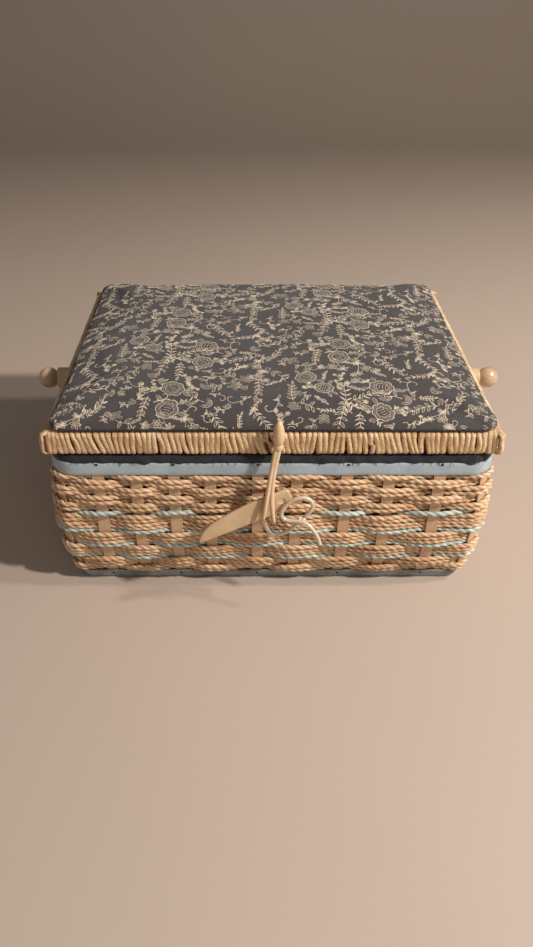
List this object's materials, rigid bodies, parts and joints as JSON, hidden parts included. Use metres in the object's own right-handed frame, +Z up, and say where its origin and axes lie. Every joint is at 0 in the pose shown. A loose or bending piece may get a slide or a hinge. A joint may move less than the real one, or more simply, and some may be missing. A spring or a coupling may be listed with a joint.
{
  "type": "sewing box",
  "caption": "Rectangular wicker sewing box with a padded fabric lid, woven sides, swing handle and a peg and toggle closure.",
  "frame": {"origin": "middle of the base board's underside", "axes": "+X along the front to the viewer's right, +Y to the hinged back, +Z up"},
  "size_m": [0.3238, 0.2393, 0.1338],
  "materials": {
    "wood": "raw",
    "satin_tape": "satin",
    "cane": "satin",
    "paper_cord": "matte",
    "aqua_cord": "matte",
    "paper_twine": "matte",
    "card": "matte",
    "lining_cloth": "satin",
    "edge_cloth": "matte",
    "foam": "matte",
    "printed_cotton": "matte",
    "hinge_metal": "satin",
    "pin_metal": "satin",
    "ivory_plastic": "gloss",
    "clear_lacing": "gloss"
  },
  "bodies": {
    "basket": {"base_board": "wood", "base_band": "satin_tape", "stakes_front": "cane", "stakes_right": "cane", "stakes_back": "cane", "stakes_left": "cane", "stakes_corners": "cane", "weave_course_01": "paper_cord", "weave_course_02": "paper_cord", "weave_course_03": "paper_cord", "weave_course_04": "paper_cord", "weave_course_05": "paper_cord", "weave_course_06": "aqua_cord", "weave_course_07": "paper_cord", "weave_course_08": "aqua_cord", "weave_course_09": "paper_cord", "weave_course_10": "aqua_cord", "weave_course_11": "paper_cord", "weave_course_12": "aqua_cord", "weave_course_13": "paper_cord", "weave_course_14": "paper_cord", "card_liner": "card", "lining": "lining_cloth", "top_frame": "wood", "top_band": "satin_tape", "lining_edge": "edge_cloth", "body_hinge_leaves": "hinge_metal", "hinge_pins": "hinge_metal", "handle_pins": "pin_metal", "handle_spacers": "ivory_plastic", "handle_knobs": "ivory_plastic", "toggle_tie": "clear_lacing", "lacing": "clear_lacing", "lacing_knot": "clear_lacing"},
    "lid": {"lid_frame": "wood", "lid_rim_wrap": "paper_twine", "lid_board": "wood", "lid_lining": "lining_cloth", "lid_pad": "foam", "lid_cover": "printed_cotton", "lid_hinge_leaves": "hinge_metal", "latch_tie": "clear_lacing"},
    "handle": {"handle": "ivory_plastic"},
    "latch": {"latch_peg": "ivory_plastic"},
    "toggle": {"toggle": "ivory_plastic"}
  },
  "joints": [
    {"name": "lid_hinge", "type": "hinge", "parent": "basket", "child": "lid", "pos_m": [0, 0.1062, 0.1024], "axis": [-1, 0, 0], "range_deg": [0, 100]},
    {"name": "handle_swing", "type": "hinge", "parent": "basket", "child": "handle", "pos_m": [0, 0.007, 0.0933], "axis": [1, 0, 0], "range_deg": [0, 175]},
    {"name": "latch_swing", "type": "hinge", "parent": "lid", "child": "latch", "pos_m": [0.003, -0.1083, 0.1127], "axis": [0, 1, 0], "range_deg": [0, 70]},
    {"name": "toggle_swivel", "type": "hinge", "parent": "basket", "child": "toggle", "pos_m": [0.006, -0.11296, 0.0774], "axis": [-0.1412, 0.9877, -0.0673], "range_deg": [-54, 10.5]}
  ]
}
